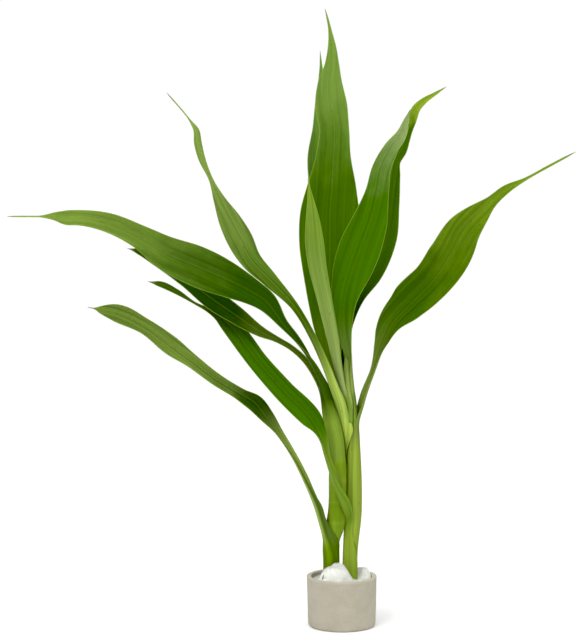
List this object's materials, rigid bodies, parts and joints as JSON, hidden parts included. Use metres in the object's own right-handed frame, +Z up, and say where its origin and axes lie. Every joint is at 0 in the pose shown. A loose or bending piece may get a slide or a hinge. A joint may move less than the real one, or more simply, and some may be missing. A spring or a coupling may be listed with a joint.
{
  "type": "potted lucky bamboo",
  "caption": "Small house plant: two green shoots with long arching leaves, standing in white wool in a little round clay pot.",
  "frame": {"origin": "middle of the pot's underside", "axes": "+Z up through the pot, -Y towards the side the picture shows, +X to the right of that view"},
  "size_m": [0.2247, 0.1191, 0.2641],
  "materials": {
    "clay": "matt unglazed clay, warm grey",
    "wool": "loose white fibre",
    "stem": "smooth satin green",
    "leaf": "satin green with fine parallel veins"
  },
  "bodies": {
    "root": {"pot": "clay", "wool": "wool", "stem_left": "stem", "stem_right": "stem", "leaf_lower_left": "leaf", "leaf_left_long": "leaf", "leaf_left_back": "leaf", "leaf_left_low": "leaf", "leaf_left_upper": "leaf", "leaf_spear": "leaf", "leaf_top": "leaf", "leaf_top_back": "leaf", "leaf_right_front": "leaf", "leaf_right_back": "leaf", "leaf_right": "leaf"}
  },
  "joints": []
}
